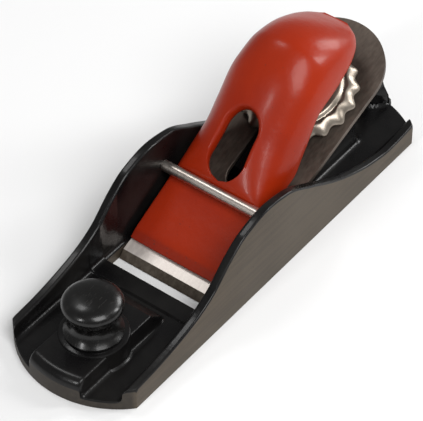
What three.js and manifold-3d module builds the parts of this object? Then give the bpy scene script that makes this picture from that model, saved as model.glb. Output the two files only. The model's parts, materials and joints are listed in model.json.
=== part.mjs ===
// A low-angle block plane, built as the separate pieces that it comes apart into.
// Millimetres, +Z up, +X from the toe to the heel. The origin is under the middle of the sole.
// A "station" is a distance behind the toe corner, where the straight side of the casting starts.
// On the bed, "along" runs up the slope from the mouth and "above" is square to the slope.
import * as THREE from "three";
import { mergeVertices } from "three/addons/utils/BufferGeometryUtils.js";
import Module from "manifold-3d";

const wasm = await Module();
wasm.setup();

// Driving dimensions: fits
const gap = 0.3; // between pieces that touch
const boreGap = 0.3; // round a pin or a screw in its bore

// Driving dimensions: casting
const bodyLength = 178;
const bodyWidth = 52;
const toeBulge = 11.4; // toe arc in front of its corners
const heelBulge = 10.1;
const wall = 3.3;
const toeFloor = 3.5;
const heelFloor = 4.6;
const cornerHeight = 9; // wall height over the toe and heel corners
const crestHeight = 35;
const crestStation = 70;
const bandStation = 35.5; // thicker band in front of the mouth
const bandHeight = 4.4;
const bedAngle = 20;
const bladeStation = 48.2; // where the cutter's flat face meets the sole
const mouthOpening = 5.6;
const toeBlockHalf = 10.4;
const toeBlockHeight = 10;
const toeFaceHeight = 6.4; // machined front face of the toe block
const bossRadius = 12;
const bossHeight = 10.6;
const bedBlockStation = 95;
const bedBlockLength = 43;
const bedBlockHalf = 12.4;
const postRadius = 9.6; // round front of the heel post
const postTopRadius = 6;

// Driving dimensions: cutter, cross pin and lever cap
const cutterThickness = 1.8;
const cutterSideGap = 2.05;
const cutterEnd = 117.5; // length along the bed to the round tail
const cutterTip = 0.6;
const bevelAngle = 30;
const slotHalf = 6;
const slotStart = 44;
const slotEnd = 76;
const pinRadius = 2;
const pinAlong = 33.9;
const pinAbove = 11.06;
const capInset = 2.15; // cap edge inside the cutter edge
const capOffset = 2; // the cap sits this far towards the +Y wall
const capFront = 8.3;
const capEnd = 109.5;
const capShell = 2.6;
const capLip = 1.1; // shell thickness at the front edge
const crownHeight = 34.7;
const clampAlong = 83.7;
const ovalAlong = 49.5;
const ovalHalf = 7;
const ovalStraight = 4.8;

// Driving dimensions: clamp
const screwRadius = 3;
const screwLength = 22.8;
const footRadius = 6.5;
const footHeight = 2.5;
const wheelRadius = 20.6;
const wheelLobes = 18;
const collarRadius = 6;
const bushWall = 1.3;
const pillarRadius = 6.5;

// Driving dimensions: knob
const knobStation = 10.6;
const knobRadius = 10.35;
const knobHeight = 16.6;
const knobStudRadius = 2.7;
const insertWall = 1.2;
const insertLength = 8.8;

// Driving dimensions: depth adjuster
const studRadius = 2;
const studHeight = 13; // axis over the sole
const leverAlong = 86;
const leverBelow = 7; // pivot under the bed
const leverPinRadius = 1.5;
const armHalf = 1; // half thickness of the lever
const armWidth = 2.4; // half width of the lever
const grooveDepth = 0.75;
const groovePitch = 3;
const grooveCount = 5;
const nutWheelRadius = 8;
const nutHubRadius = 5;
const lockNutFlats = 7;

// Derived places
const innerHalf = bodyWidth / 2 - wall;
const cutterHalf = innerHalf - cutterSideGap;
const capHalf = cutterHalf - capInset;
const mouthHalf = cutterHalf + 0.55;
const heelCorner = bodyLength - toeBulge - heelBulge;
const heelTip = heelCorner + heelBulge;
const middleStation = (heelTip - toeBulge) / 2;
const slope = THREE.MathUtils.degToRad(bedAngle);
const bedFoot = bladeStation + gap / Math.sin(slope);
const onBed = (station) => (station - bedFoot) * Math.tan(slope);
const stationOf = (along, above) => bladeStation + along * Math.cos(slope) - above * Math.sin(slope);
const heightOf = (along, above) => along * Math.sin(slope) + above * Math.cos(slope);
const pivotStation = stationOf(leverAlong, -leverBelow);
const pivotHeight = heightOf(leverAlong, -leverBelow);

// ---- Shape helpers ----

// One closed body with merged vertices and its faces turned outwards.
function closed(geometry) {
  const bare = geometry.clone();
  bare.deleteAttribute("normal");
  bare.deleteAttribute("uv");
  const merged = mergeVertices(bare);
  const place = merged.getAttribute("position");
  const [a, b, c] = [new THREE.Vector3(), new THREE.Vector3(), new THREE.Vector3()];
  const faces = [];
  let volume = 0;
  for (let i = 0; i < merged.index.count; i += 3) {
    const [p, q, r] = [0, 1, 2].map((k) => merged.index.getX(i + k));
    if (p === q || q === r || r === p) continue;
    faces.push([p, q, r]);
    volume += a.fromBufferAttribute(place, p).dot(b.fromBufferAttribute(place, q)
      .cross(c.fromBufferAttribute(place, r)));
  }
  merged.setIndex(faces.flatMap(([p, q, r]) => (volume < 0 ? [p, r, q] : [p, q, r])));
  merged.computeVertexNormals();
  return merged;
}

function solid(geometry) {
  const body = closed(geometry);
  return new wasm.Manifold(new wasm.Mesh({
    numProp: 3,
    vertProperties: new Float32Array(body.getAttribute("position").array),
    triVerts: new Uint32Array(body.index.array),
  }));
}

function geometryOf(manifold) {
  const mesh = manifold.getMesh();
  const geometry = new THREE.BufferGeometry();
  geometry.setAttribute("position", new THREE.BufferAttribute(mesh.vertProperties, mesh.numProp));
  geometry.setIndex(new THREE.BufferAttribute(mesh.triVerts, 1));
  geometry.computeVertexNormals();
  return geometry;
}

// Points [x, y] extruded up from one height to another.
function upright(points, from, to) {
  const shape = points instanceof THREE.Shape ? points : new THREE.Shape(points.map((p) => new THREE.Vector2(...p)));
  const geometry = new THREE.ExtrudeGeometry(shape, { depth: to - from, bevelEnabled: false, curveSegments: 20 });
  return geometry.translate(0, 0, from);
}

// A side profile [x, z] extruded across the plane from one y to another.
function across(points, from, to) {
  return upright(points, 0, to - from).rotateX(Math.PI / 2).translate(0, to, 0);
}

function block(x0, x1, y0, y1, z0, z1) {
  return new THREE.BoxGeometry(x1 - x0, y1 - y0, z1 - z0)
    .translate((x0 + x1) / 2, (y0 + y1) / 2, (z0 + z1) / 2);
}

// A profile [radius, height] turned about the vertical; it starts and ends on the axis or closes.
function turned(profile, segments = 48) {
  return new THREE.LatheGeometry(profile.map((p) => new THREE.Vector2(...p)), segments).rotateX(Math.PI / 2);
}

function rod(radius, from, to, segments = 40) {
  return turned([[0, from], [radius, from], [radius, to], [0, to]], segments);
}

function sleeve(inner, outer, from, to, segments = 40) {
  return turned([[inner, from], [outer, from], [outer, to], [inner, to], [inner, from]], segments);
}

const alongX = (geometry, y, z) => geometry.rotateY(Math.PI / 2).translate(0, y, z);
const alongY = (geometry, x, z) => geometry.rotateX(-Math.PI / 2).translate(x, 0, z);

// A curve through knots [x, value] that never swings past them (monotone cubic).
function through(knots) {
  const steps = knots.slice(1).map(([x, v], i) => (v - knots[i][1]) / (x - knots[i][0]));
  const slopes = knots.map((_, i) => {
    if (i === 0) return steps[0];
    if (i === knots.length - 1) return steps[i - 1];
    const [before, after] = [steps[i - 1], steps[i]];
    return before * after <= 0 ? 0 : (2 * before * after) / (before + after);
  });
  return (x) => {
    let i = 0;
    while (i < knots.length - 2 && x > knots[i + 1][0]) i += 1;
    const [[x0, v0], [x1, v1]] = [knots[i], knots[i + 1]];
    const [w, t] = [x1 - x0, THREE.MathUtils.clamp((x - x0) / (x1 - x0), 0, 1)];
    return v0 * (1 + 2 * t) * (1 - t) ** 2 + v1 * t * t * (3 - 2 * t)
      + w * t * (1 - t) * (slopes[i] * (1 - t) - slopes[i + 1] * t);
  };
}

// A shell between two grids of points, with strips that close its four borders.
function shellBetween(outer, inner) {
  const rows = outer.length;
  const columns = outer[0].length;
  const at = (side, i, j) => (side * rows + i) * columns + j;
  const index = [];
  const quad = (p, q, r, s) => index.push(p, q, r, p, r, s);
  for (let i = 0; i < rows - 1; i += 1) {
    for (let j = 0; j < columns - 1; j += 1) {
      quad(at(0, i, j), at(0, i + 1, j), at(0, i + 1, j + 1), at(0, i, j + 1));
      quad(at(1, i, j), at(1, i, j + 1), at(1, i + 1, j + 1), at(1, i + 1, j));
    }
    quad(at(0, i, 0), at(1, i, 0), at(1, i + 1, 0), at(0, i + 1, 0));
    quad(at(0, i, columns - 1), at(0, i + 1, columns - 1), at(1, i + 1, columns - 1), at(1, i, columns - 1));
  }
  for (let j = 0; j < columns - 1; j += 1) {
    quad(at(0, 0, j), at(0, 0, j + 1), at(1, 0, j + 1), at(1, 0, j));
    quad(at(0, rows - 1, j), at(1, rows - 1, j), at(1, rows - 1, j + 1), at(0, rows - 1, j + 1));
  }
  const geometry = new THREE.BufferGeometry();
  geometry.setAttribute("position", new THREE.Float32BufferAttribute([outer, inner].flat(3), 3));
  geometry.setIndex(index);
  return geometry;
}

// ---- Assembly and materials ----

const plane = new THREE.Group();
const frame = new THREE.Group(); // stations
frame.position.x = -middleStation;
const bed = new THREE.Group(); // along and above
bed.position.x = bladeStation;
bed.rotation.y = -slope;
const clamp = new THREE.Group();
clamp.position.set(clampAlong, capOffset, 0);
plane.add(frame);
frame.add(bed);
bed.add(clamp);

const finishes = {
  japanning: { color: 0x161415, roughness: 0.3, metalness: 0 },
  knobBlack: { color: 0x1f1c1a, roughness: 0.22, metalness: 0 },
  redPaint: { color: 0xa52f13, roughness: 0.3, metalness: 0 },
  toolSteel: { color: 0x6b625b, roughness: 0.4, metalness: 0.9 },
  nickel: { color: 0xb5a99c, roughness: 0.22, metalness: 1 },
  steel: { color: 0x8f8c88, roughness: 0.35, metalness: 1 },
  brass: { color: 0xb08a45, roughness: 0.3, metalness: 1 },
};

function piece(name, geometry, finish, parent = frame) {
  const mesh = new THREE.Mesh(geometry, new THREE.MeshStandardMaterial(finishes[finish]));
  mesh.name = name;
  parent.add(mesh);
  return mesh;
}

// ---- Casting ----

// Plan of the sole: straight sides with an arc across the toe and another across the heel.
function solePlan() {
  const half = bodyWidth / 2;
  const shape = new THREE.Shape();
  const arc = (corner, bulge, sign) => {
    const radius = (half * half + bulge * bulge) / (2 * bulge);
    const spread = Math.asin(half / radius);
    const centre = corner + sign * (bulge - radius);
    const middle = sign > 0 ? 0 : Math.PI;
    shape.absarc(centre, 0, radius, middle - spread, middle + spread, false);
  };
  arc(heelCorner, heelBulge, 1);
  arc(0, toeBulge, -1);
  return shape;
}

// The humped top edge of a side wall, from the toe to the heel.
function wallProfile() {
  const hump = new THREE.SplineCurve([
    [-toeBulge, cornerHeight - 2], [0, cornerHeight], [17, 11], [32.5, 15], [41, 19.4], [48.6, 26.3],
    [58, 32.3], [crestStation, crestHeight], [81, 33.6], [94, 26.8], [107.7, 18.8], [119, 13.6],
    [130.6, 9.8], [heelCorner - 14.5, 7.8], [heelCorner, cornerHeight], [heelTip, cornerHeight + 1],
  ].map((p) => new THREE.Vector2(...p)));
  const top = hump.getPoints(52).map((p) => [p.x, p.y]);
  return [[-toeBulge, 0], ...top, [heelTip, 0]];
}

function castingBlank() {
  const lip = 1; // past the outline, which trims it
  const front = -toeBulge - lip;
  const back = heelTip + lip;
  const mouthFront = bladeStation - mouthOpening;
  const bedTop = bedFoot + heelFloor / Math.tan(slope);
  const toe = across([[front, 0], [mouthFront, 0], [mouthFront, bandHeight], [bandStation, bandHeight],
    [bandStation, toeFloor], [front, toeFloor]], -bodyWidth / 2, bodyWidth / 2);
  const heel = across([[bedFoot, 0], [back, 0], [back, heelFloor], [bedTop, heelFloor]],
    -bodyWidth / 2, bodyWidth / 2);
  const blockRear = 27;
  const roundOver = [0, 1, 2, 3, 4].map((k) => {
    const turn = (k / 4) * (Math.PI / 2);
    const drop = toeBlockHeight - toeFaceHeight;
    return [-toeBulge + drop * (1 - Math.cos(turn)), toeFaceHeight + drop * Math.sin(turn)];
  });
  const toeBlock = across([[front, 0], [front, toeFaceHeight], ...roundOver, [blockRear, toeBlockHeight],
    [blockRear + 5, 6], [blockRear + 7, toeFloor], [blockRear + 7, 0]], -toeBlockHalf, toeBlockHalf);
  const boss = rod(bossRadius, 0, bossHeight, 56).translate(knobStation, 0, 0);
  const bedBlockBack = bedBlockStation + bedBlockLength;
  const bedBlock = across([[bedBlockStation, 0], [bedBlockBack + 3, 0], [bedBlockBack + 3, heelFloor],
    [bedBlockBack, onBed(bedBlockBack)], [bedBlockStation, onBed(bedBlockStation)]],
  -bedBlockHalf, bedBlockHalf);
  const parts = [toe, heel, toeBlock, boss, bedBlock];
  for (const side of [-1, 1]) {
    const [low, high] = side < 0 ? [-bodyWidth / 2, -innerHalf] : [innerHalf, bodyWidth / 2];
    parts.push(across(wallProfile(), low, high));
    const [inner, outer] = side < 0 ? [-innerHalf - lip, -mouthHalf] : [mouthHalf, innerHalf + lip];
    parts.push(block(mouthFront - lip, bedTop, inner, outer, 0, toeFloor));
  }
  parts.push(heelPost());
  return wasm.Manifold.union(parts.map(solid));
}

// Post at the heel: a tombstone seen from the front, round in plan.
function heelPost() {
  const shape = new THREE.Shape();
  const flank = [[10, 0], [10, 5], [9.4, 8], [7.5, 10], [6.3, 12]];
  shape.setFromPoints(flank.map(([y, z]) => new THREE.Vector2(y, z)));
  shape.absarc(0, studHeight, postTopRadius, 0, Math.PI, false);
  flank.reverse().forEach(([y, z]) => shape.lineTo(-y, z));
  const length = 2 * postRadius;
  const slab = upright(shape, -length / 2, length / 2).rotateX(Math.PI / 2).rotateZ(Math.PI / 2)
    .translate(heelTip, 0, 0);
  const round = rod(postRadius, 0, studHeight + postTopRadius + 1, 48).translate(heelTip, 0, 0);
  return geometryOf(solid(slab).intersect(solid(round)));
}

function makeCasting() {
  const trimmed = castingBlank().intersect(solid(upright(solePlan(), 0, crestHeight + 1)));
  const cuts = [];
  // Knob stud, blind from above.
  cuts.push(rod(knobStudRadius + boreGap, toeFloor - gap, bossHeight + 1).translate(knobStation, 0, 0));
  // Sockets of the cross pin, 1.4 mm into each wall.
  const reach = innerHalf + 1.7;
  cuts.push(alongY(rod(pinRadius + boreGap, -reach, reach), stationOf(pinAlong, pinAbove),
    heightOf(pinAlong, pinAbove)));
  // Depth stud: blind in the bed block, through the heel post.
  const studFrom = pivotStation - 13.7;
  cuts.push(alongX(rod(studRadius + boreGap, studFrom, heelTip + 1), 0, studHeight));
  // Pocket for the nut and the fork, and the slot that the lever swings in.
  cuts.push(block(pivotStation - 7.3, bedBlockStation + bedBlockLength + 4, -6.3, 6.3,
    heelFloor + 1.9, pivotHeight - leverPinRadius - boreGap - 1));
  const swing = block(leverAlong - 4.5, leverAlong + 4.5, -armWidth - gap, armWidth + gap, -leverBelow - 10, 1);
  cuts.push(swing.rotateY(-slope).translate(bladeStation, 0, 0));
  cuts.push(alongY(rod(leverPinRadius + boreGap, -bedBlockHalf - 1, bedBlockHalf + 1, 28),
    pivotStation, pivotHeight));
  return geometryOf(cuts.map(solid).reduce((body, cut) => body.subtract(cut), trimmed));
}
piece("body_casting", makeCasting(), "japanning");

// ---- Cross pin ----

piece("cross_pin", closed(alongY(rod(pinRadius, -innerHalf - 1.3, innerHalf + 1.3),
  stationOf(pinAlong, pinAbove), heightOf(pinAlong, pinAbove))), "nickel");

// ---- Knob, its insert and its stud ----

const knobFoot = bossHeight + gap;
const insertFrom = knobFoot + gap;
const insertOuter = knobStudRadius + boreGap + insertWall;

function makeKnob() {
  const outline = new THREE.SplineCurve([
    [knobRadius - 0.15, knobFoot + 1.1], [knobRadius - 2, knobFoot + 3], [knobRadius - 2.85, knobFoot + 5.6],
    [knobRadius - 2, knobFoot + 8.2], [knobRadius - 0.75, knobFoot + 10.1], [knobRadius, knobFoot + 12.3],
    [knobRadius - 0.75, knobFoot + 14], [knobRadius - 3.3, knobFoot + 15.7],
    [knobRadius - 6.8, knobFoot + 16.4], [0, knobFoot + knobHeight],
  ].map((p) => new THREE.Vector2(...p)));
  const skin = outline.getPoints(18).map((p) => [Math.max(p.x, 0), p.y]);
  const body = turned([[0, knobFoot], [knobRadius - 0.15, knobFoot], ...skin], 44);
  const hole = rod(insertOuter + boreGap, knobFoot - 1, insertFrom + insertLength + 0.5);
  return geometryOf(solid(body).subtract(solid(hole))).translate(knobStation, 0, 0);
}
piece("front_knob", makeKnob(), "knobBlack");
piece("knob_insert", closed(sleeve(knobStudRadius + boreGap, insertOuter, insertFrom,
  insertFrom + insertLength).translate(knobStation, 0, 0)), "brass");
piece("knob_stud", closed(rod(knobStudRadius, toeFloor, insertFrom + insertLength - 1)
  .translate(knobStation, 0, 0)), "steel");

// ---- Cutter ----

function makeCutter() {
  const tailCentre = cutterEnd - cutterHalf;
  const plan = new THREE.Shape();
  plan.moveTo(cutterTip, -cutterHalf);
  plan.lineTo(tailCentre, -cutterHalf);
  plan.absarc(tailCentre, 0, cutterHalf, -Math.PI / 2, Math.PI / 2, false);
  plan.lineTo(cutterTip, cutterHalf);
  const bevelLength = cutterThickness / Math.tan(THREE.MathUtils.degToRad(bevelAngle));
  const bevel = across([[cutterTip - 1, 0], [cutterTip, 0], [cutterTip + bevelLength, cutterThickness],
    [cutterTip + bevelLength, cutterThickness + 1], [cutterTip - 1, cutterThickness + 1]],
  -cutterHalf - 1, cutterHalf + 1);
  const slot = new THREE.Shape();
  slot.absarc(slotEnd - slotHalf, 0, slotHalf, -Math.PI / 2, Math.PI / 2, false);
  slot.absarc(slotStart + slotHalf, 0, slotHalf, Math.PI / 2, 1.5 * Math.PI, false);
  const cuts = [bevel, upright(slot, -1, cutterThickness + 1)];
  const grooveHalf = armHalf - 0.1;
  for (let i = 0; i < grooveCount; i += 1) {
    const centre = leverAlong + (i - (grooveCount - 1) / 2) * groovePitch;
    cuts.push(block(centre - grooveHalf, centre + grooveHalf, -slotHalf, slotHalf, -1, grooveDepth));
  }
  const blank = solid(upright(plan, 0, cutterThickness));
  return geometryOf(cuts.map(solid).reduce((body, cut) => body.subtract(cut), blank));
}
piece("cutter", makeCutter(), "toolSteel", bed);

// ---- Lever cap ----

// Half width, edge height and crown height of the shell, each along the bed.
const capWidth = through([[capFront, capHalf], [60, capHalf - 0.2], [82, capHalf - 0.8], [93, capHalf - 1.8],
  [101, capHalf - 3.8], [106, capHalf - 7.2], [capEnd, capHalf - 13]]);
const capEdge = through([[capFront, 3.2], [44, 4.2], [53, 4.2], [62.7, 9.7], [75.5, 16.9], [92, 16.3],
  [capEnd, 14.4]]);
const underPin = pinAbove - pinRadius - gap;
const capCrown = through([[capFront, 3.6], [20, 6.2], [pinAlong, underPin], [pinAlong + 4.1, 13.3], [44, 17.5],
  [60, 25.5], [76, 33], [clampAlong, crownHeight], [92, 31.9], [99, 26.1], [104, 20.6], [capEnd, 14.5]]);
const capRoundness = through([[capFront, 9], [30, 8], [44, 2.7], [capEnd, 2.6]]);

// One cross section: a superellipse arch that springs from the two edges.
function capSection(along, inside) {
  const eased = (from, to) => THREE.MathUtils.smoothstep(along, from, to);
  const thick = THREE.MathUtils.lerp(capLip, capShell, THREE.MathUtils.clamp((along - capFront) / 10, 0, 1));
  const standing = eased(pinAlong, pinAlong + 21); // 0 where the shell lies flat, 1 where it stands up
  const shut = eased(clampAlong + 4, capEnd);
  const floorLine = cutterThickness + gap;
  const half = capWidth(along) - (inside ? thick * Math.max(standing, 0.05) : 0);
  const edge = inside ? Math.max(capEdge(along) - thick * (1 - standing), floorLine) : capEdge(along);
  const rise = Math.max(capCrown(along) - capEdge(along), 0.1);
  const crown = inside ? Math.max(capCrown(along) - thick - 0.08 * rise * standing, edge + 0.02)
    : capEdge(along) + rise;
  const power = 2 / capRoundness(along);
  const columns = 18;
  const setBack = inside ? capShell * shut : 0;
  return Array.from({ length: columns + 1 }, (_, j) => {
    const turn = Math.PI * (1 - j / columns);
    const side = Math.sign(Math.cos(turn)) * Math.abs(Math.cos(turn)) ** power;
    return [along - setBack, capOffset + half * (Math.abs(Math.cos(turn)) < 1e-9 ? 0 : side),
      edge + (crown - edge) * Math.abs(Math.sin(turn)) ** power];
  });
}

function makeCap() {
  const count = 32;
  const stations = Array.from({ length: count + 1 }, (_, i) => (
    capEnd - (capEnd - capFront) * (1 - i / count) ** 1.3));
  const shell = solid(shellBetween(stations.map((s) => capSection(s, false)),
    stations.map((s) => capSection(s, true))));
  const oval = new THREE.Shape();
  oval.absarc(ovalAlong + ovalStraight, capOffset, ovalHalf, -Math.PI / 2, Math.PI / 2, false);
  oval.absarc(ovalAlong - ovalStraight, capOffset, ovalHalf, Math.PI / 2, 1.5 * Math.PI, false);
  const pillar = rod(pillarRadius, bushFrom + gap, crownHeight - capShell).translate(clampAlong, capOffset, 0);
  const bore = rod(bushOuter + boreGap, 0, bushFrom + bushLength + 2.5).translate(clampAlong, capOffset, 0);
  const hook = alongY(rod(pinRadius + gap, -bodyWidth, bodyWidth), pinAlong, pinAbove);
  return geometryOf(shell.add(solid(pillar)).subtract(solid(bore)).subtract(solid(hook))
    .subtract(solid(upright(oval, 0, crownHeight + 1))));
}

const bushOuter = screwRadius + boreGap + bushWall;
const bushFrom = 16.2;
const bushLength = 11.8;
piece("lever_cap", makeCap(), "redPaint", bed);
piece("cap_bush", closed(sleeve(screwRadius + boreGap, bushOuter, bushFrom, bushFrom + bushLength)),
  "brass", clamp);

// ---- Clamp screw, foot, wheel and collar ----

const footFrom = cutterThickness + gap;
const screwFrom = footFrom + 1.1;
const wheelPlate = 7.4; // underside of the wheel's flat hub
const plateThickness = 1;

function makeFoot() {
  const bore = screwRadius + boreGap;
  return closed(turned([[0, footFrom], [footRadius, footFrom], [footRadius, footFrom + footHeight],
    [bore, footFrom + footHeight], [bore, screwFrom - gap], [0, screwFrom - gap]], 48));
}
piece("clamp_foot", makeFoot(), "steel", clamp);
piece("clamp_screw", closed(rod(screwRadius, screwFrom, screwFrom + screwLength, 32)), "steel", clamp);

// A dished disc whose rim is turned down and scalloped all round.
function makeWheel() {
  const top = wheelPlate + plateThickness;
  const bore = screwRadius + boreGap;
  const rings = [ // radius, height and depth of the scallops
    [bore, top, 0], [wheelRadius - 5.4, top, 0], [wheelRadius - 4.6, top - 1.4, 0],
    [wheelRadius - 2.4, top - 1.2, 0.5], [wheelRadius, top - 4.2, 0.9], [wheelRadius - 0.6, top - 4.5, 0.9],
    [wheelRadius - 3, top - 2.2, 0.5], [wheelRadius - 4.8, top - 2.5, 0], [wheelRadius - 5.6, wheelPlate, 0],
    [bore, wheelPlate, 0],
  ];
  const steps = wheelLobes * 6;
  const place = [];
  const index = [];
  rings.forEach(([radius, height, depth], i) => {
    for (let k = 0; k < steps; k += 1) {
      const turn = (k / steps) * 2 * Math.PI;
      const reach = radius + depth * Math.cos(wheelLobes * turn);
      place.push(reach * Math.cos(turn), reach * Math.sin(turn), height);
      const next = (i + 1) % rings.length;
      const [a, b] = [i * steps + k, i * steps + ((k + 1) % steps)];
      const [c, d] = [next * steps + ((k + 1) % steps), next * steps + k];
      index.push(a, b, c, a, c, d);
    }
  });
  const geometry = new THREE.BufferGeometry();
  geometry.setAttribute("position", new THREE.Float32BufferAttribute(place, 3));
  geometry.setIndex(index);
  return closed(geometry);
}
piece("clamp_wheel", makeWheel(), "nickel", clamp);
piece("clamp_collar", closed(sleeve(screwRadius + boreGap, collarRadius, wheelPlate + plateThickness + gap,
  wheelPlate + plateThickness + 3.6)), "steel", clamp);

// ---- Depth adjuster: stud, nut, washer, lock nut, lever and its pin ----

const studGroup = new THREE.Group(); // local Z runs along the stud, towards the heel
studGroup.position.set(pivotStation, 0, studHeight);
studGroup.rotation.y = Math.PI / 2;
frame.add(studGroup);
const nutBore = studRadius + boreGap;
const grooveWide = 2.3; // half width of the nut's groove, room for the fork to lean
const wheelFrom = 12.2;
const wheelTo = wheelFrom + 4.8;
const washerTo = wheelTo + gap + 0.8;
const postFront = heelTip - postRadius - pivotStation;
const lockTo = postFront - 0.7;

piece("depth_stud", closed(rod(studRadius, -13.4, heelTip - 0.6 - pivotStation, 32)), "steel", studGroup);
piece("depth_nut", closed(turned([
  [nutBore, -grooveWide - 1.8], [nutHubRadius, -grooveWide - 1.8], [nutHubRadius, -grooveWide],
  [nutHubRadius - 1.4, -grooveWide], [nutHubRadius - 1.4, grooveWide], [nutHubRadius, grooveWide],
  [nutHubRadius, wheelFrom], [nutWheelRadius - 0.5, wheelFrom], [nutWheelRadius, wheelFrom + 0.5],
  [nutWheelRadius, wheelTo - 0.5], [nutWheelRadius - 0.5, wheelTo], [nutBore, wheelTo],
  [nutBore, -grooveWide - 1.8]], 48)), "brass", studGroup);
piece("depth_washer", closed(sleeve(nutBore, nutHubRadius - 0.3, wheelTo + gap, washerTo)), "steel", studGroup);

function makeLockNut() {
  const corner = lockNutFlats / 2 / Math.cos(Math.PI / 6);
  const hexagon = new THREE.CylinderGeometry(corner, corner, 3.2, 6).rotateX(Math.PI / 2)
    .translate(0, 0, lockTo - 1.6);
  return geometryOf(solid(hexagon).subtract(solid(rod(nutBore, lockTo - 5, lockTo + 1, 32))));
}
piece("stud_lock_nut", makeLockNut(), "steel", studGroup);

// The lever in a frame at its pivot: barrel, a finger up to the cutter and a fork down over the nut.
function makeLever() {
  const bore = leverPinRadius + boreGap;
  const barrel = alongY(rod(2 * leverPinRadius, -armWidth, armWidth, 32), 0, 0);
  const reach = leverBelow + grooveDepth - gap;
  const tip = armHalf - 0.1 - gap;
  const finger = across([[-armHalf, 0], [armHalf, 0], [armHalf, reach - 1.6], [tip, reach - 1],
    [tip, reach], [-tip, reach], [-tip, reach - 1], [-armHalf, reach - 1.6]], -armWidth, armWidth)
    .rotateY(-slope);
  const axis = studHeight - pivotHeight; // the stud under the pivot
  const core = nutHubRadius - 1.4;
  const shoulder = axis + nutHubRadius - 0.5;
  const arm = block(-armHalf, armHalf, -armWidth, armWidth, shoulder, 0);
  const prongOuter = core + gap + 1.9;
  const yoke = block(-armHalf, armHalf, -prongOuter, prongOuter, shoulder, shoulder + 1.8);
  const prongs = [-1, 1].map((side) => {
    const [low, high] = side < 0 ? [-prongOuter, -core - gap] : [core + gap, prongOuter];
    return block(-armHalf, armHalf, low, high, axis - core, shoulder + 1);
  });
  const joined = wasm.Manifold.union([barrel, finger, arm, yoke, ...prongs].map(solid));
  return geometryOf(joined.subtract(solid(alongY(rod(bore, -armWidth - 1, armWidth + 1, 32), 0, 0))));
}
piece("adjust_lever", makeLever(), "steel").position.set(pivotStation, 0, pivotHeight);
piece("lever_pin", closed(alongY(rod(leverPinRadius, -bedBlockHalf + 0.6, bedBlockHalf - 0.6, 28),
  pivotStation, pivotHeight)), "steel");

export default plane;
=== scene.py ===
"""Looks of a low-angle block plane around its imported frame. Points are worked out in millimetres."""
import json
import math

import bmesh
import bpy
import numpy as np
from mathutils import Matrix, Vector


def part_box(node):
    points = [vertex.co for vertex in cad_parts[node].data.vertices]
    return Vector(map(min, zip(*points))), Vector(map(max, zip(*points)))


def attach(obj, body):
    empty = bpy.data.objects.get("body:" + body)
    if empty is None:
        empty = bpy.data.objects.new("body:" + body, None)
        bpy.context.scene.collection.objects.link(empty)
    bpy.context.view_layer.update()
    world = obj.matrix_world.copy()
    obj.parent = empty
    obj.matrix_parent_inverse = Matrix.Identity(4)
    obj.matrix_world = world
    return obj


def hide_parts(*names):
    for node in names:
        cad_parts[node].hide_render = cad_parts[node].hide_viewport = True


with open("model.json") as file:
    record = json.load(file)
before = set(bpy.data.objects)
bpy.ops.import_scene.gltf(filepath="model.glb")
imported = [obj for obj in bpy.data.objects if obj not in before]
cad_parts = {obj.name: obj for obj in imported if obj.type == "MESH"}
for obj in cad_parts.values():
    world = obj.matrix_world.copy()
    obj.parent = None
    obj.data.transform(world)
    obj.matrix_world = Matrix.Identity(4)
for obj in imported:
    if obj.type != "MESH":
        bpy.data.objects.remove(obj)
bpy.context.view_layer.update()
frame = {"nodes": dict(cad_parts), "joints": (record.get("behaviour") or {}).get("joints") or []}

# ---- Casting ----
# One iron casting: the sole with its mouth, two humped side walls, the block under the knob, the
# bed block and the heel post. It is japanned black, then the sole, the sides, the two ends and the
# bed are ground bright.

casting_low, casting_high = (1000 * np.array(corner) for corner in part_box("body_casting"))
HALF_WIDTH = casting_high[1]
TOE_BULGE, HEEL_BULGE = 11.4, 10.1          # how far the end arcs stand past their corners
TOE_CORNER = casting_low[0] + TOE_BULGE     # stations are counted from here
STRAIGHT = casting_high[0] - HEEL_BULGE - TOE_CORNER
INNER_FACE = HALF_WIDTH - 3.3
TOE_FLOOR, BAND_FLOOR, HEEL_FLOOR = 3.5, 4.4, 4.6
BAND_START, MOUTH_FRONT, BLADE_STATION = 35.5, 42.6, 48.2
bed_axis = next(j["axis"] for j in frame["joints"] if j["name"] == "cutter_slide")
SLOPE = math.atan2(bed_axis[2], bed_axis[0])
BED_FOOT = BLADE_STATION + 0.3 / math.sin(SLOPE)
MOUTH_HALF = 21.2
EDGE_BREAK = 0.25                           # chamfer round the sole


def smooth_curve(knots, x):
    """Cubic through the knots with harmonic-mean slopes, so it never swings past them."""
    at, value = np.array(knots, float).T
    step = np.diff(value) / np.diff(at)
    before, after = step[:-1], step[1:]
    mean = 2 * before * after / np.where(before * after > 0, before + after, 1)
    slope = np.concatenate([step[:1], np.where(before * after > 0, mean, 0), step[-1:]])
    i = np.clip(np.searchsorted(at, x) - 1, 0, len(at) - 2)
    width = at[i + 1] - at[i]
    t = np.clip((x - at[i]) / width, 0, 1)
    return (value[i] * (1 + 2 * t) * (1 - t) ** 2 + value[i + 1] * t * t * (3 - 2 * t)
            + width * t * (1 - t) * (slope[i] * (1 - t) - slope[i + 1] * t))


def smoothstep(low, high, x):
    """0 below low, 1 above high, eased between."""
    t = np.clip((x - low) / (high - low), 0, 1)
    return t * t * (3 - 2 * t)


def rounding(inside, radius):
    """Drop of a quarter-round edge at a distance inside it: radius - sqrt(radius^2 - (radius - d)^2)."""
    reach = np.clip(radius - inside, 0, radius)
    return radius - np.sqrt(radius * radius - reach * reach)


def spread(*stops):
    """Grid lines between stops: (start, count), (next, count), ..., (end, 0), evenly within each."""
    lines = [np.linspace(a, b, n, endpoint=False) for (a, n), (b, _) in zip(stops, stops[1:])]
    return np.concatenate(lines + [[stops[-1][0]]])


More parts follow.
